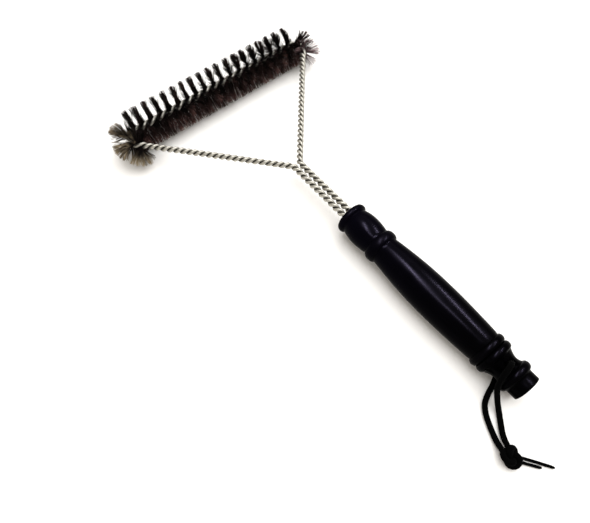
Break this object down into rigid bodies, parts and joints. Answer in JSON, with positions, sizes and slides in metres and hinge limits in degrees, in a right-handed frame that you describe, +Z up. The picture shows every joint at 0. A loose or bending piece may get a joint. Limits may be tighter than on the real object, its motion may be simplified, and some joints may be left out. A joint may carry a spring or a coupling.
{
  "type": "grill cleaning brush",
  "caption": "Y-shaped grill cleaning brush: twisted-wire head of helical bristles on wire arms, turned black handle and knotted lanyard.",
  "frame": {"origin": "on the surface the brush lies on, under the middle of its bounding box, measured without the lanyard", "axes": "+Z up; +Y from the handle towards the brush head; +X to the right, seen from the handle's end"},
  "size_m": [0.2421, 0.4516, 0.0403],
  "materials": {
    "handle_lacquer": "turned wood under black satin-gloss lacquer",
    "wire": "bright galvanised steel wire",
    "bristles": "fine dark oxidised steel bristle wire",
    "lanyard_cord": "black braided cord"
  },
  "bodies": {
    "brush": {"handle": "handle_lacquer", "wire_strand_a": "wire", "wire_strand_b": "wire", "bristle_tuft_01": "bristles", "bristle_tuft_02": "bristles", "bristle_tuft_03": "bristles", "bristle_tuft_04": "bristles", "bristle_tuft_05": "bristles", "bristle_tuft_06": "bristles", "bristle_tuft_07": "bristles", "bristle_tuft_08": "bristles", "bristle_tuft_09": "bristles", "bristle_tuft_10": "bristles", "bristle_tuft_11": "bristles", "bristle_tuft_12": "bristles", "bristle_tuft_13": "bristles", "bristle_tuft_14": "bristles", "bristle_tuft_15": "bristles", "bristle_tuft_16": "bristles", "bristle_tuft_17": "bristles", "bristle_tuft_18": "bristles", "bristle_tuft_19": "bristles", "bristle_tuft_20": "bristles", "bristle_tuft_21": "bristles", "bristle_tuft_22": "bristles", "bristle_tuft_23": "bristles"},
    "lanyard": {"lanyard_strand_over": "lanyard_cord", "lanyard_strand_under": "lanyard_cord", "lanyard_knot": "lanyard_cord", "lanyard_tail_long": "lanyard_cord", "lanyard_tail_short": "lanyard_cord"}
  },
  "joints": [
    {"name": "lanyard_swing", "type": "hinge", "parent": "brush", "child": "lanyard", "pos_m": [0, -0.1819, 0.0149], "axis": [0, 0, 1], "range_deg": [-40, 4]}
  ]
}
